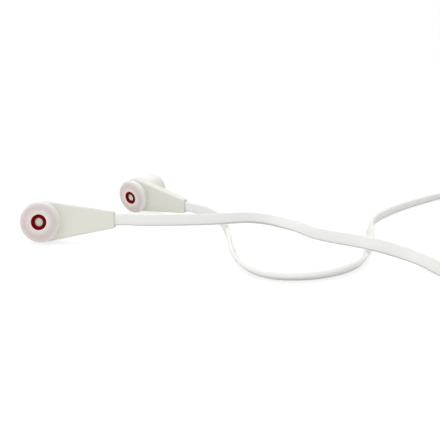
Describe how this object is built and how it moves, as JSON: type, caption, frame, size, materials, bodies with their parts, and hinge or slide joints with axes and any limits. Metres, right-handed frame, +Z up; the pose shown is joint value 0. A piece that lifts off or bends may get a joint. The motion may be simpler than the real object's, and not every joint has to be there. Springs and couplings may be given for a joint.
{
  "type": "wired earphones",
  "caption": "Wired in-ear earphones: paddle-shaped buds with soft tips on flat ribbon cords, a splitter, the surplus lead wound in a flat coil, and a 3.5 mm plug.",
  "frame": {"origin": "on the supporting surface, under the middle of the box round the two buds", "axes": "+Z up, +X along the tails of the buds towards the cords, -Y the way the near bud's nozzle points"},
  "size_m": [0.206, 0.1316, 0.0134],
  "materials": {
    "shell": "satin moulded warm white",
    "cap": "satin moulded, bare",
    "mesh": "perforated disc, painted pale",
    "ear_tip": "translucent milky silicone",
    "tip_core": "dark red silicone",
    "driver_plastic": "moulded black",
    "diaphragm": "thin film",
    "copper": "enamelled copper wire",
    "steel": "plain",
    "magnet": "nickel-plated magnet",
    "board": "circuit board",
    "collar": "soft matte",
    "ribbon": "smooth satin elastomer",
    "splitter": "satin moulded",
    "handle": "satin moulded",
    "contact": "polished plating"
  },
  "bodies": {
    "root": {"left_front_shell": "shell", "left_rear_shell": "shell", "left_driver_cup": "shell", "left_rear_cap": "cap", "left_nozzle_mesh": "mesh", "left_driver_frame": "driver_plastic", "left_diaphragm": "diaphragm", "left_voice_coil": "copper", "left_top_plate": "steel", "left_magnet": "magnet", "left_yoke": "steel", "left_terminal_board": "board", "left_driver_wires": "copper", "left_cord_clamp": "steel", "left_cord_collar": "collar", "right_front_shell": "shell", "right_rear_shell": "shell", "right_driver_cup": "shell", "right_rear_cap": "cap", "right_nozzle_mesh": "mesh", "right_driver_frame": "driver_plastic", "right_diaphragm": "diaphragm", "right_voice_coil": "copper", "right_top_plate": "steel", "right_magnet": "magnet", "right_yoke": "steel", "right_terminal_board": "board", "right_driver_wires": "copper", "right_cord_clamp": "steel", "right_cord_collar": "collar", "left_cord": "ribbon", "right_cord": "ribbon", "splitter": "splitter", "lead_to_coil": "ribbon", "lead_coil": "ribbon", "lead_to_plug": "ribbon", "plug_relief": "collar", "plug_handle": "handle", "plug_sleeve": "contact", "plug_ring": "contact", "plug_tip": "contact", "plug_insulators": "driver_plastic"},
    "left_tip": {"left_ear_tip": "ear_tip", "left_ear_tip_core": "tip_core"},
    "right_tip": {"right_ear_tip": "ear_tip", "right_ear_tip_core": "tip_core"}
  },
  "joints": [
    {"name": "left_tip_pull", "type": "slide", "parent": "root", "child": "left_tip", "axis": [-0.0571, -0.986, 0.1563], "range_m": [0, 0.004]},
    {"name": "right_tip_pull", "type": "slide", "parent": "root", "child": "right_tip", "axis": [-0.5373, -0.8289, -0.1556], "range_m": [0, 0.004]}
  ]
}
